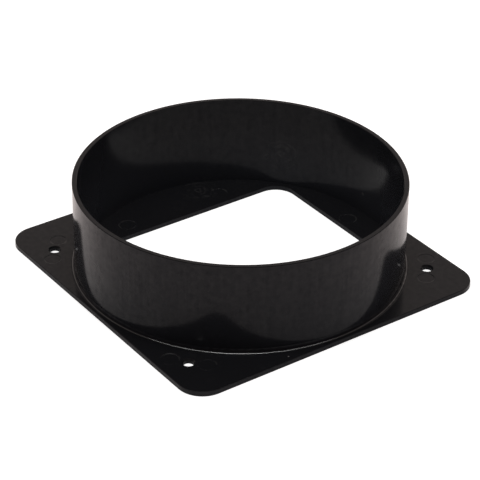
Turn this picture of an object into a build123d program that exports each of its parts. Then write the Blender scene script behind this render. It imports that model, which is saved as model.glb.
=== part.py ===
from build123d import *
from math import cos, hypot, radians, sin
import os

# Duct transition ring: one injection moulding that takes a round duct to a rectangular opening.
# The origin is the centre of the plate's underside, and +Z runs up the spigot to its rim.

# Driving sizes, in millimetres and degrees
spigot_diameter = 150.0
ring_height = 45.2
rim_wall = 2.25
foot_wall = 3.3
rim_chamfer = 0.25
foot_fillet = 1.9

plate_margin = 2.7
plate_thickness = 2.2
plate_corner_radius = 12.0
plate_edge_rounding = 0.3

opening_corner_radius = 10.2
opening_corner_web = 2.9
opening_corner_angle = 52.65
opening_edge_chamfer = 0.2

screw_hole_diameter = 4.6
screw_hole_chamfer = 0.7
screw_circle_gap = 10.0
screw_angle = 50.1

pin_mark_diameter = 8.0
pin_mark_depth = 0.15
pin_mark_slope = 0.4
pin_mark_spacing = 8.2
side_mark_setback = 17.7
side_mark_spacing = 52.0
end_mark_setback = 9.4
fillet_clearance = 0.1

# Sizes that follow from them
outer_radius = spigot_diameter / 2
rim_bore_radius = outer_radius - rim_wall
foot_bore_radius = outer_radius - foot_wall
plate_side = spigot_diameter + 2 * plate_margin

opening_reach = foot_bore_radius - opening_corner_web - opening_corner_radius
opening_half_x = opening_reach * cos(radians(opening_corner_angle)) + opening_corner_radius
opening_half_y = opening_reach * sin(radians(opening_corner_angle)) + opening_corner_radius

screw_circle_radius = outer_radius + screw_circle_gap
screw_x = screw_circle_radius * cos(radians(screw_angle))
screw_y = screw_circle_radius * sin(radians(screw_angle))
quarters = [(1, 1), (-1, 1), (-1, -1), (1, -1)]


def on_plate_top(edge):
    """True for an edge that lies flat in the plate's upper face."""
    box = edge.bounding_box()
    return abs(box.min.Z - plate_thickness) < 0.001 and abs(box.max.Z - plate_thickness) < 0.001


def distance_from_axis(edge):
    """How far the middle of an edge is from the spigot's axis."""
    middle = edge @ 0.5
    return hypot(middle.X, middle.Y)


def circles(shape, radius, height):
    """The circular edges of one radius at one height."""
    return [
        edge
        for edge in shape.edges().filter_by(GeomType.CIRCLE)
        if abs(edge.radius - radius) < 0.001 and abs(edge.arc_center.Z - height) < 0.001
    ]


def make_plate():
    """Square plate with round corners and a softened upper edge."""
    plate = extrude(RectangleRounded(plate_side, plate_side, plate_corner_radius), plate_thickness)
    upper_edges = [edge for edge in plate.edges() if on_plate_top(edge)]
    return fillet(upper_edges, plate_edge_rounding)


def make_spigot():
    """Round wall, straight outside and tapered inside, with a bevel on both edges of the rim."""
    section = Polyline(
        (foot_bore_radius, 0),
        (outer_radius, 0),
        (outer_radius, ring_height),
        (rim_bore_radius, ring_height),
        (foot_bore_radius, plate_thickness),
        close=True,
    )
    wall = revolve(Plane.XZ * make_face(section), Axis.Z)
    rim_edges = circles(wall, outer_radius, ring_height) + circles(wall, rim_bore_radius, ring_height)
    return chamfer(rim_edges, rim_chamfer)


def join_at_foot(plate, spigot):
    """Plate and wall as one solid, with a fillet round the outside of the wall's foot."""
    body = plate + spigot
    room_for_fillet = plate_margin - plate_edge_rounding - fillet_clearance
    foot_edge = circles(body, outer_radius, plate_thickness)
    return fillet(foot_edge, min(foot_fillet, room_for_fillet))


def cut_opening(body):
    """Rectangular duct opening, whose round corners leave a narrow web to the wall."""
    outline = RectangleRounded(2 * opening_half_x, 2 * opening_half_y, opening_corner_radius)
    body = body - extrude(outline, plate_thickness)
    upper_edges = [
        edge
        for edge in body.edges()
        if on_plate_top(edge) and distance_from_axis(edge) < foot_bore_radius - 0.01
    ]
    return chamfer(upper_edges, opening_edge_chamfer)


def drill_screw_holes(body):
    """Four screw holes outside the spigot, each with a bevelled mouth."""
    radius = screw_hole_diameter / 2
    for along_x, along_y in quarters:
        body = body - Pos(along_x * screw_x, along_y * screw_y) * extrude(Circle(radius), plate_thickness)
    return chamfer(circles(body, radius, plate_thickness), screw_hole_chamfer)


def pin_mark_places():
    """Where the mould's ejector pins pressed: a pair at each screw hole, and six inside the wall."""
    half_turn = pin_mark_spacing / screw_circle_radius
    places = []
    for along_x, along_y in quarters:
        for turn in (-half_turn, half_turn):
            angle = radians(screw_angle) + turn
            x = screw_circle_radius * cos(angle)
            y = screw_circle_radius * sin(angle)
            places.append((along_x * x, along_y * y))
        side_x = foot_bore_radius - side_mark_setback
        places.append((along_x * side_x, along_y * side_mark_spacing / 2))
    for along_y in (-1, 1):
        places.append((0, along_y * (foot_bore_radius - end_mark_setback)))
    return places


def press_pin_marks(body):
    """Shallow round dimples in the plate's upper face, with a sloping edge."""
    radius = pin_mark_diameter / 2
    bowl = Cone(radius - pin_mark_slope, radius + pin_mark_slope, 2 * pin_mark_depth)
    dimple = Pos(0, 0, plate_thickness) * bowl
    for x, y in pin_mark_places():
        body = body - Pos(x, y) * dimple
    return body


# The moulding, from the plate up
ring = join_at_foot(make_plate(), make_spigot())
ring = cut_opening(ring)
ring = drill_screw_holes(ring)
ring = press_pin_marks(ring)
ring.label = "transition_ring"

os.makedirs("parts", exist_ok=True)
export_step(ring, "parts/transition_ring.step")

print("opening", round(2 * opening_half_x, 2), "x", round(2 * opening_half_y, 2))
print("screw holes", round(2 * screw_x, 2), "x", round(2 * screw_y, 2))
print("volume", round(ring.volume / 1000, 2), "cm3")
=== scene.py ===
import math

import bpy
from mathutils import Matrix, Vector

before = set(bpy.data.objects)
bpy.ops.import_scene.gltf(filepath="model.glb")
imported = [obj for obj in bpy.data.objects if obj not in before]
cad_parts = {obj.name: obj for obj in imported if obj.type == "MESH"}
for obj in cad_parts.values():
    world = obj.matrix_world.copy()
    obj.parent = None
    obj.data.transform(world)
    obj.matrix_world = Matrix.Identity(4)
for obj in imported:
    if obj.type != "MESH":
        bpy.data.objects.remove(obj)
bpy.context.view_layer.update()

# Lengths are in metres and angles in degrees, in the ring's own frame. A range is a start and an end
# for rise(), and where it has four numbers, the last two are the values before the start and past the end.

# Camera, turned round the ring and above it, then moved a little across and up. Its sensor and lens are
# in millimetres.
CAMERA_AZIMUTH = 54.296
CAMERA_ELEVATION = 31.730
CAMERA_ROLL = 0.638
CAMERA_DISTANCE = 0.9467
CAMERA_ACROSS = 0.000121
CAMERA_UP = 0.010362
CAMERA_NEAR = 0.01
CAMERA_FAR = 50.0
SENSOR_WIDTH = 36.0
FOCAL_LENGTH = 155.71

# Flat directions as the camera sees them: to its right, and away from it
AZIMUTH = math.radians(CAMERA_AZIMUTH)
ACROSS = (math.cos(AZIMUTH), math.sin(AZIMUTH), 0.0)
BEHIND = (-math.sin(AZIMUTH), math.cos(AZIMUTH), 0.0)

# Moulded plastic: sheen is the shader's specular level
PLASTIC_COLOUR = (0.0071, 0.0072, 0.0083, 1.0)
DUST_COLOUR = (0.110, 0.108, 0.104, 1.0)
PLASTIC_IOR = 1.25
PLASTIC_ROUGHNESS = 0.14
SHEEN_LEVEL = 0.5

# Steep faces are painted paler, as painted fill light that lifts the wall's shaded parts, and they are a
# little duller.
# The wall takes an even share of this painted fill outside, and inside a share that falls from the foot to
# the rim.
WALL_PAINTED_FILL_COLOUR = (0.0195, 0.0205, 0.0245, 1.0)
WALL_SHEEN = -0.14
WALL_STEEPNESS = (0.2, 0.6)
PAINTED_FILL_SHARE_OUTSIDE = 0.69
PAINTED_FILL_SHARE_INSIDE = (0.005, 0.040, 1.0, 0.36)

# Surface detail: noise scales are per metre, and a noise has few or more octaves of detail
FEW_OCTAVES = 2.0
MORE_OCTAVES = 3.0
PEEL_SCALE = 330.0
PEEL_DEPTH = 0.000012
STREAK_SCALE = 700.0
STREAK_STRETCH = (1.0, 1.0, 0.06)
STREAK_DEPTH = 0.000008
STREAK_ROUGHNESS = 0.06
STREAK_SHEEN = 0.22
MOTTLE_SCALE = 420.0
MOTTLE_SHEEN = 0.42
HAZE_SCALE = 45.0
HAZE_RANGE = (0.50, 0.74)
HAZE_ROUGHNESS = 0.05
HAZE_DUST = 0.02
GRIT_SCALE = 420.0
GRIT_RANGE = (0.42, 0.66)
BLOTCH_SCALE = 260.0
BLOTCH_RANGE = (0.38, 0.70)

# Fillet at the wall's foot, up to a height: a fine polished line and the duller flanks beside it, by
# distance from the axis
FOOT_TOP = (0.0040, 0.0044, 1.0, 0.0)
FOOT_LINE_RADIUS = 0.07595
FOOT_LINE_SHEEN = (0.00014, 0.00026, 1.6, 0.0)
FOOT_FLANK_START = (0.07500, 0.07506)
FOOT_FLANK_END = (0.07620, 0.07690, 1.0, 0.0)
FOOT_FLANK_SHEEN = -0.34

# The wall's two sides, by distance from the axis
INSIDE = (0.0730, 0.0738, 1.0, 0.0)
OUTSIDE = (0.0742, 0.0748, 0.0, 1.0)

# Wiped smudges and specks of dust: centre, reach, strength, and for a smudge its side of the wall. They
# are at full strength out to a share of their reach.
SMUDGES = [
    ((-0.0452, 0.0560, 0.0177), 0.0105, 0.13, INSIDE),
    ((-0.0617, 0.0186, 0.0022), 0.0120, 0.08, INSIDE),
    ((-0.0030, -0.0749, 0.0180), 0.0095, 0.13, OUTSIDE),
]
SMUDGE_CORE = 0.6
SPECKS = [
    ((0.0750, -0.0279, 0.0022), 0.00045, 0.9),
    ((-0.0014, 0.0720, 0.0118), 0.00110, 0.25),
]
SPECK_CORE = 0.5
SWIRL_SCALE = 110.0
SWIRL_DISTORTION = 7.0
SWIRL_DETAIL_SCALE = 2.6
SWIRL_RANGE = (0.15, 1.0)

# Ejector pin marks of one quarter of the ring, which stand for all four. Their edges are matt and dusty.
PIN_MARKS = [
    (0.04798, 0.07016, 0.0022),
    (0.06055, 0.05965, 0.0022),
    (0.0540, 0.0260, 0.0022),
    (0.0, 0.0623, 0.0022),
]
PIN_MARK_RADIUS = 0.0040
PIN_MARK_EDGE = (0.0, 0.00060, 1.0, 0.0)
PIN_MARK_DUST = 0.12
PIN_MARK_ROUGHNESS = 0.30
PIN_MARK_SHEEN = -0.32

# Room: a dark level in front and a bright one behind, by how far a direction points away from the camera
WORLD_COLOUR = (1.0, 0.88, 0.83, 1.0)
WORLD_LEVEL = (-0.25, 0.60, 0.18, 0.60)

# Oval lamps overhead, a little on the camera's side: level, as seen in their reflections, and width
LAMPS = {
    "core": (43.0, 0.30),
    "middle": (11.0, 0.70),
    "wings": (10.5, 1.40),
}
LAMP_DEPTH = 0.07
LAMP_BEHIND = -0.06
LAMP_HEIGHT = 1.0

# Floor, just under the ring. It has a glow of its own, which the camera and reflections see, and which
# lights nothing. In reflections the glow is warmer,
# and dimmer near the ring: a painted shade that darkens it where the ring hides the sky.
FLOOR_SIZE = 8.0
FLOOR_DROP = 0.0001
FLOOR_COLOUR = (0.80, 0.80, 0.80, 1.0)
FLOOR_GLOW = (0.58, 0.58, 0.58, 1.0)
FLOOR_MIRRORED = (0.77, 0.62, 0.59, 1.0)
FLOOR_SHADE_REACH = 0.10
FLOOR_SHADE_POWER = 4.5

# Colour sockets of a Mix node
MIX_FIRST = 6
MIX_SECOND = 7
MIX_RESULT = 2


def new_object(name, data):
    """An object in the scene."""
    thing = bpy.data.objects.new(name, data)
    bpy.context.scene.collection.objects.link(thing)
    return thing


def aim(thing, place, right, up, back):
    """Stand a camera or lamp at a place, looking against back."""
    turn = Matrix((right, up, back)).transposed().to_4x4()
    thing.matrix_world = Matrix.Translation(place) @ turn


def camera_axes():
    """Right, up and back of the camera, with its roll."""
    elevation = math.radians(CAMERA_ELEVATION)
    roll = math.radians(CAMERA_ROLL)
    back = Vector((
        math.sin(AZIMUTH) * math.cos(elevation),
        -math.cos(AZIMUTH) * math.cos(elevation),
        math.sin(elevation),
    ))
    right = Vector((0, 0, 1)).cross(back).normalized()
    up = back.cross(right)
    cosine, sine = math.cos(roll), math.sin(roll)
    return cosine * right + sine * up, -sine * right + cosine * up, back


def make_camera():
    """A long lens that looks down on one corner of the plate."""
    right, up, back = camera_axes()
    data = bpy.data.cameras.new("camera")
    data.sensor_width = SENSOR_WIDTH
    data.lens = FOCAL_LENGTH
    data.clip_start = CAMERA_NEAR
    data.clip_end = CAMERA_FAR
    camera = new_object("camera", data)
    eye = back * CAMERA_DISTANCE + right * CAMERA_ACROSS + up * CAMERA_UP
    aim(camera, eye, right, up, back)
    bpy.context.scene.camera = camera


def new_material(name):
    """A material with an empty node tree, and the tree."""
    material = bpy.data.materials.new(name)
    material.use_nodes = True
    material.node_tree.nodes.clear()
    return material, material.node_tree


def feed(tree, source, socket):
    """Link a node's output to a socket, or set the socket's own value."""
    if isinstance(source, bpy.types.NodeSocket):
        tree.links.new(source, socket)
    else:
        socket.default_value = source


def calculate(tree, operation, first, second=0.0):
    """Math node."""
    node = tree.nodes.new("ShaderNodeMath")
    node.operation = operation
    feed(tree, first, node.inputs[0])
    feed(tree, second, node.inputs[1])
    return node.outputs[0]


def total(tree, first, *rest):
    """Sum of several values."""
    for value in rest:
        first = calculate(tree, "ADD", first, value)
    return first


def product(tree, first, *rest):
    """Product of several values."""
    for value in rest:
        first = calculate(tree, "MULTIPLY", first, value)
    return first


def gap(tree, value, middle):
    """How far a value is from a middle one, to either side."""
    return calculate(tree, "ABSOLUTE", calculate(tree, "SUBTRACT", value, middle))


def rise(tree, value, start, end, low=0.0, high=1.0):
    """Smooth step from low to high as value goes from start to end."""
    node = tree.nodes.new("ShaderNodeMapRange")
    node.interpolation_type = "SMOOTHSTEP"
    tree.links.new(value, node.inputs["Value"])
    node.inputs["From Min"].default_value = start
    node.inputs["From Max"].default_value = end
    node.inputs["To Min"].default_value = low
    node.inputs["To Max"].default_value = high
    return node.outputs["Result"]


def blend(tree, factor, first, second):
    """Colour that goes from first to second as the factor goes from 0 to 1."""
    node = tree.nodes.new("ShaderNodeMix")
    node.data_type = "RGBA"
    tree.links.new(factor, node.inputs["Factor"])
    feed(tree, first, node.inputs[MIX_FIRST])
    feed(tree, second, node.inputs[MIX_SECOND])
    return node.outputs[MIX_RESULT]


def vector_math(tree, operation, first, second=(0.0, 0.0, 0.0)):
    """Outputs of a Vector Math node."""
    node = tree.nodes.new("ShaderNodeVectorMath")
    node.operation = operation
    tree.links.new(first, node.inputs[0])
    node.inputs[1].default_value = second
    return node.outputs


def distance(tree, place, point):
    """How far each place is from a point."""
    return vector_math(tree, "DISTANCE", place, point)["Value"]


def upward(tree, vector):
    """The Z part of a vector."""
    node = tree.nodes.new("ShaderNodeSeparateXYZ")
    tree.links.new(vector, node.inputs[0])
    return node.outputs["Z"]


def noise(tree, place, scale, octaves):
    """Smooth noise from 0 to 1."""
    node = tree.nodes.new("ShaderNodeTexNoise")
    tree.links.new(place, node.inputs["Vector"])
    node.inputs["Scale"].default_value = scale
    node.inputs["Detail"].default_value = octaves
    return node.outputs[0]


def bump(tree, pattern, depth, normal=None):
    """Normal of a surface that a pattern raises by up to a depth, on top of an earlier normal."""
    node = tree.nodes.new("ShaderNodeBump")
    node.inputs["Distance"].default_value = depth
    tree.links.new(pattern, node.inputs["Height"])
    if normal:
        tree.links.new(normal, node.inputs["Normal"])
    return node.outputs["Normal"]


def swirl(tree, place, centre):
    """Uneven rings round a point, like a wiped fingermark."""
    node = tree.nodes.new("ShaderNodeTexWave")
    node.wave_type = "RINGS"
    node.rings_direction = "SPHERICAL"
    around = vector_math(tree, "SUBTRACT", place, centre)["Vector"]
    tree.links.new(around, node.inputs["Vector"])
    node.inputs["Scale"].default_value = SWIRL_SCALE
    node.inputs["Distortion"].default_value = SWIRL_DISTORTION
    node.inputs["Detail Scale"].default_value = SWIRL_DETAIL_SCALE
    return rise(tree, node.outputs["Fac"], *SWIRL_RANGE)


def smudges(tree, place, from_axis, blotches):
    """Dust of each wiped smudge, on its own side of the wall."""
    marks = []
    for centre, reach, strength, side in SMUDGES:
        rings = swirl(tree, place, centre)
        patch = rise(tree, distance(tree, place, centre), reach * SMUDGE_CORE, reach, strength, 0.0)
        marks.append(product(tree, rings, patch, rise(tree, from_axis, *side), blotches))
    return marks


def specks(tree, place):
    """Dust of each speck."""
    return [
        rise(tree, distance(tree, place, centre), reach * SPECK_CORE, reach, strength, 0.0)
        for centre, reach, strength in SPECKS
    ]


def pin_mark_edges(tree, place):
    """1 on the edges of the ejector pin marks, and 0 away from them."""
    quarter = vector_math(tree, "ABSOLUTE", place)["Vector"]
    edges = [
        rise(tree, gap(tree, distance(tree, quarter, centre), PIN_MARK_RADIUS), *PIN_MARK_EDGE)
        for centre in PIN_MARKS
    ]
    return total(tree, *edges)


def painted_fill_share(tree, steep, height, from_axis):
    """How much painted fill light, a paler colour on steep faces, a place has."""
    more = calculate(tree, "SUBTRACT", rise(tree, height, *PAINTED_FILL_SHARE_INSIDE), PAINTED_FILL_SHARE_OUTSIDE)
    share = total(tree, product(tree, more, rise(tree, from_axis, *INSIDE)), PAINTED_FILL_SHARE_OUTSIDE)
    return product(tree, steep, share)


def foot_sheen(tree, height, from_axis):
    """What the foot fillet's polished line and dull flanks add to the sheen."""
    low = rise(tree, height, *FOOT_TOP)
    line = rise(tree, gap(tree, from_axis, FOOT_LINE_RADIUS), *FOOT_LINE_SHEEN)
    past_start = rise(tree, from_axis, *FOOT_FLANK_START)
    before_end = rise(tree, from_axis, *FOOT_FLANK_END)
    flanks = product(tree, past_start, before_end, low, FOOT_FLANK_SHEEN)
    return product(tree, low, line), flanks


def plastic_material():
    """Black plastic with a soft uneven sheen, draw marks up the wall, haze, smudges and a little dust, and
    painted fill light that makes steep faces paler.
    """
    material, tree = new_material("moulding")
    place = tree.nodes.new("ShaderNodeTexCoord").outputs["Object"]
    normal = tree.nodes.new("ShaderNodeNewGeometry").outputs["Normal"]

    # Where a place is, and how steep the surface is there
    height = upward(tree, place)
    flat_place = vector_math(tree, "MULTIPLY", place, (1.0, 1.0, 0.0))["Vector"]
    from_axis = vector_math(tree, "LENGTH", flat_place)["Value"]
    steep = rise(tree, calculate(tree, "ABSOLUTE", upward(tree, normal)), *WALL_STEEPNESS, 1.0, 0.0)

    # Patterns that the colour, roughness and sheen share
    peel = noise(tree, place, PEEL_SCALE, FEW_OCTAVES)
    drawn_place = vector_math(tree, "MULTIPLY", place, STREAK_STRETCH)["Vector"]
    streaks = noise(tree, drawn_place, STREAK_SCALE, MORE_OCTAVES)
    mottle = noise(tree, place, MOTTLE_SCALE, MORE_OCTAVES)
    grit = rise(tree, noise(tree, place, GRIT_SCALE, MORE_OCTAVES), *GRIT_RANGE)
    haze = product(tree, rise(tree, noise(tree, place, HAZE_SCALE, MORE_OCTAVES), *HAZE_RANGE), grit)
    blotches = rise(tree, noise(tree, place, BLOTCH_SCALE, FEW_OCTAVES), *BLOTCH_RANGE)
    edges = product(tree, pin_mark_edges(tree, place), blotches)

    dust = total(
        tree,
        product(tree, haze, HAZE_DUST),
        *smudges(tree, place, from_axis, blotches),
        product(tree, edges, PIN_MARK_DUST),
        *specks(tree, place),
    )
    # Painted fill light: steep faces take a paler colour that lifts their shaded parts, most at the inside
    # foot.
    colour_with_painted_fill = blend(tree, painted_fill_share(tree, steep, height, from_axis), PLASTIC_COLOUR, WALL_PAINTED_FILL_COLOUR)
    roughness = total(
        tree,
        PLASTIC_ROUGHNESS - STREAK_ROUGHNESS / 2,
        product(tree, streaks, STREAK_ROUGHNESS),
        product(tree, haze, HAZE_ROUGHNESS),
        product(tree, edges, PIN_MARK_ROUGHNESS),
    )
    sheen = total(
        tree,
        SHEEN_LEVEL - (MOTTLE_SHEEN + STREAK_SHEEN) / 2,
        product(tree, mottle, MOTTLE_SHEEN),
        product(tree, streaks, STREAK_SHEEN),
        *foot_sheen(tree, height, from_axis),
        product(tree, edges, PIN_MARK_SHEEN),
        product(tree, steep, WALL_SHEEN),
    )

    shader = tree.nodes.new("ShaderNodeBsdfPrincipled")
    shader.inputs["IOR"].default_value = PLASTIC_IOR
    tree.links.new(blend(tree, dust, colour_with_painted_fill, DUST_COLOUR), shader.inputs["Base Color"])
    tree.links.new(roughness, shader.inputs["Roughness"])
    tree.links.new(sheen, shader.inputs["Specular IOR Level"])
    peeled = bump(tree, peel, PEEL_DEPTH)
    tree.links.new(bump(tree, streaks, STREAK_DEPTH, peeled), shader.inputs["Normal"])
    out = tree.nodes.new("ShaderNodeOutputMaterial")
    tree.links.new(shader.outputs["BSDF"], out.inputs["Surface"])
    return material


def floor_material():
    """Matt white that keeps the ring's shadow, and glows for the camera and for reflections, with painted
    shade that dims the glow in reflections near the ring.
    """
    material, tree = new_material("floor_white")
    path = tree.nodes.new("ShaderNodeLightPath")
    nearby = tree.nodes.new("ShaderNodeAmbientOcclusion")
    nearby.inputs["Distance"].default_value = FLOOR_SHADE_REACH
    # Painted shade: in reflections the glow dims where the ring hides the sky nearby.
    open_floor = calculate(tree, "POWER", nearby.outputs["AO"], FLOOR_SHADE_POWER)
    mirrored = product(tree, path.outputs["Is Glossy Ray"], open_floor)
    seen = calculate(tree, "MAXIMUM", path.outputs["Is Camera Ray"], path.outputs["Is Transmission Ray"])

    diffuse = tree.nodes.new("ShaderNodeBsdfDiffuse")
    diffuse.inputs["Color"].default_value = FLOOR_COLOUR
    glow = tree.nodes.new("ShaderNodeEmission")
    tint = blend(tree, path.outputs["Is Glossy Ray"], FLOOR_GLOW, FLOOR_MIRRORED)
    tree.links.new(tint, glow.inputs["Color"])
    tree.links.new(calculate(tree, "MAXIMUM", seen, mirrored), glow.inputs["Strength"])
    both = tree.nodes.new("ShaderNodeAddShader")
    tree.links.new(diffuse.outputs["BSDF"], both.inputs[0])
    tree.links.new(glow.outputs["Emission"], both.inputs[1])
    out = tree.nodes.new("ShaderNodeOutputMaterial")
    tree.links.new(both.outputs[0], out.inputs["Surface"])
    return material


def make_floor():
    """A plain square floor."""
    half = FLOOR_SIZE / 2
    corners = [(x, y, -FLOOR_DROP) for x, y in ((-half, -half), (half, -half), (half, half), (-half, half))]
    mesh = bpy.data.meshes.new("floor")
    mesh.from_pydata(corners, [], [(0, 1, 2, 3)])
    floor = new_object("floor", mesh)
    mesh.materials.append(floor_material())


def add_lamp(name, level, width):
    """A soft oval light that faces the ring."""
    place = Vector((BEHIND[0] * LAMP_BEHIND, BEHIND[1] * LAMP_BEHIND, LAMP_HEIGHT))
    across = Vector(ACROSS)
    away = place.normalized()
    data = bpy.data.lights.new(name, "AREA")
    data.shape = "ELLIPSE"
    data.size = width
    data.size_y = LAMP_DEPTH
    area = math.pi / 4 * width * LAMP_DEPTH
    data.energy = level * math.pi * area
    aim(new_object(name, data), place, across, away.cross(across), away)


def make_lights():
    """A grey room, paler behind the ring than on the camera's side, and the lamps."""
    world = bpy.data.worlds.new("studio")
    bpy.context.scene.world = world
    world.use_nodes = True
    tree = world.node_tree
    direction = tree.nodes.new("ShaderNodeTexCoord").outputs["Generated"]
    away = vector_math(tree, "DOT_PRODUCT", direction, BEHIND)["Value"]
    background = tree.nodes["Background"]
    background.inputs["Color"].default_value = WORLD_COLOUR
    tree.links.new(rise(tree, away, *WORLD_LEVEL), background.inputs["Strength"])

    for name, (level, width) in LAMPS.items():
        add_lamp(name, level, width)


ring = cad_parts["transition_ring"]
ring.data.materials.clear()
ring.data.materials.append(plastic_material())

make_floor()
make_lights()
make_camera()

bpy.context.scene.view_settings.view_transform = "Standard"
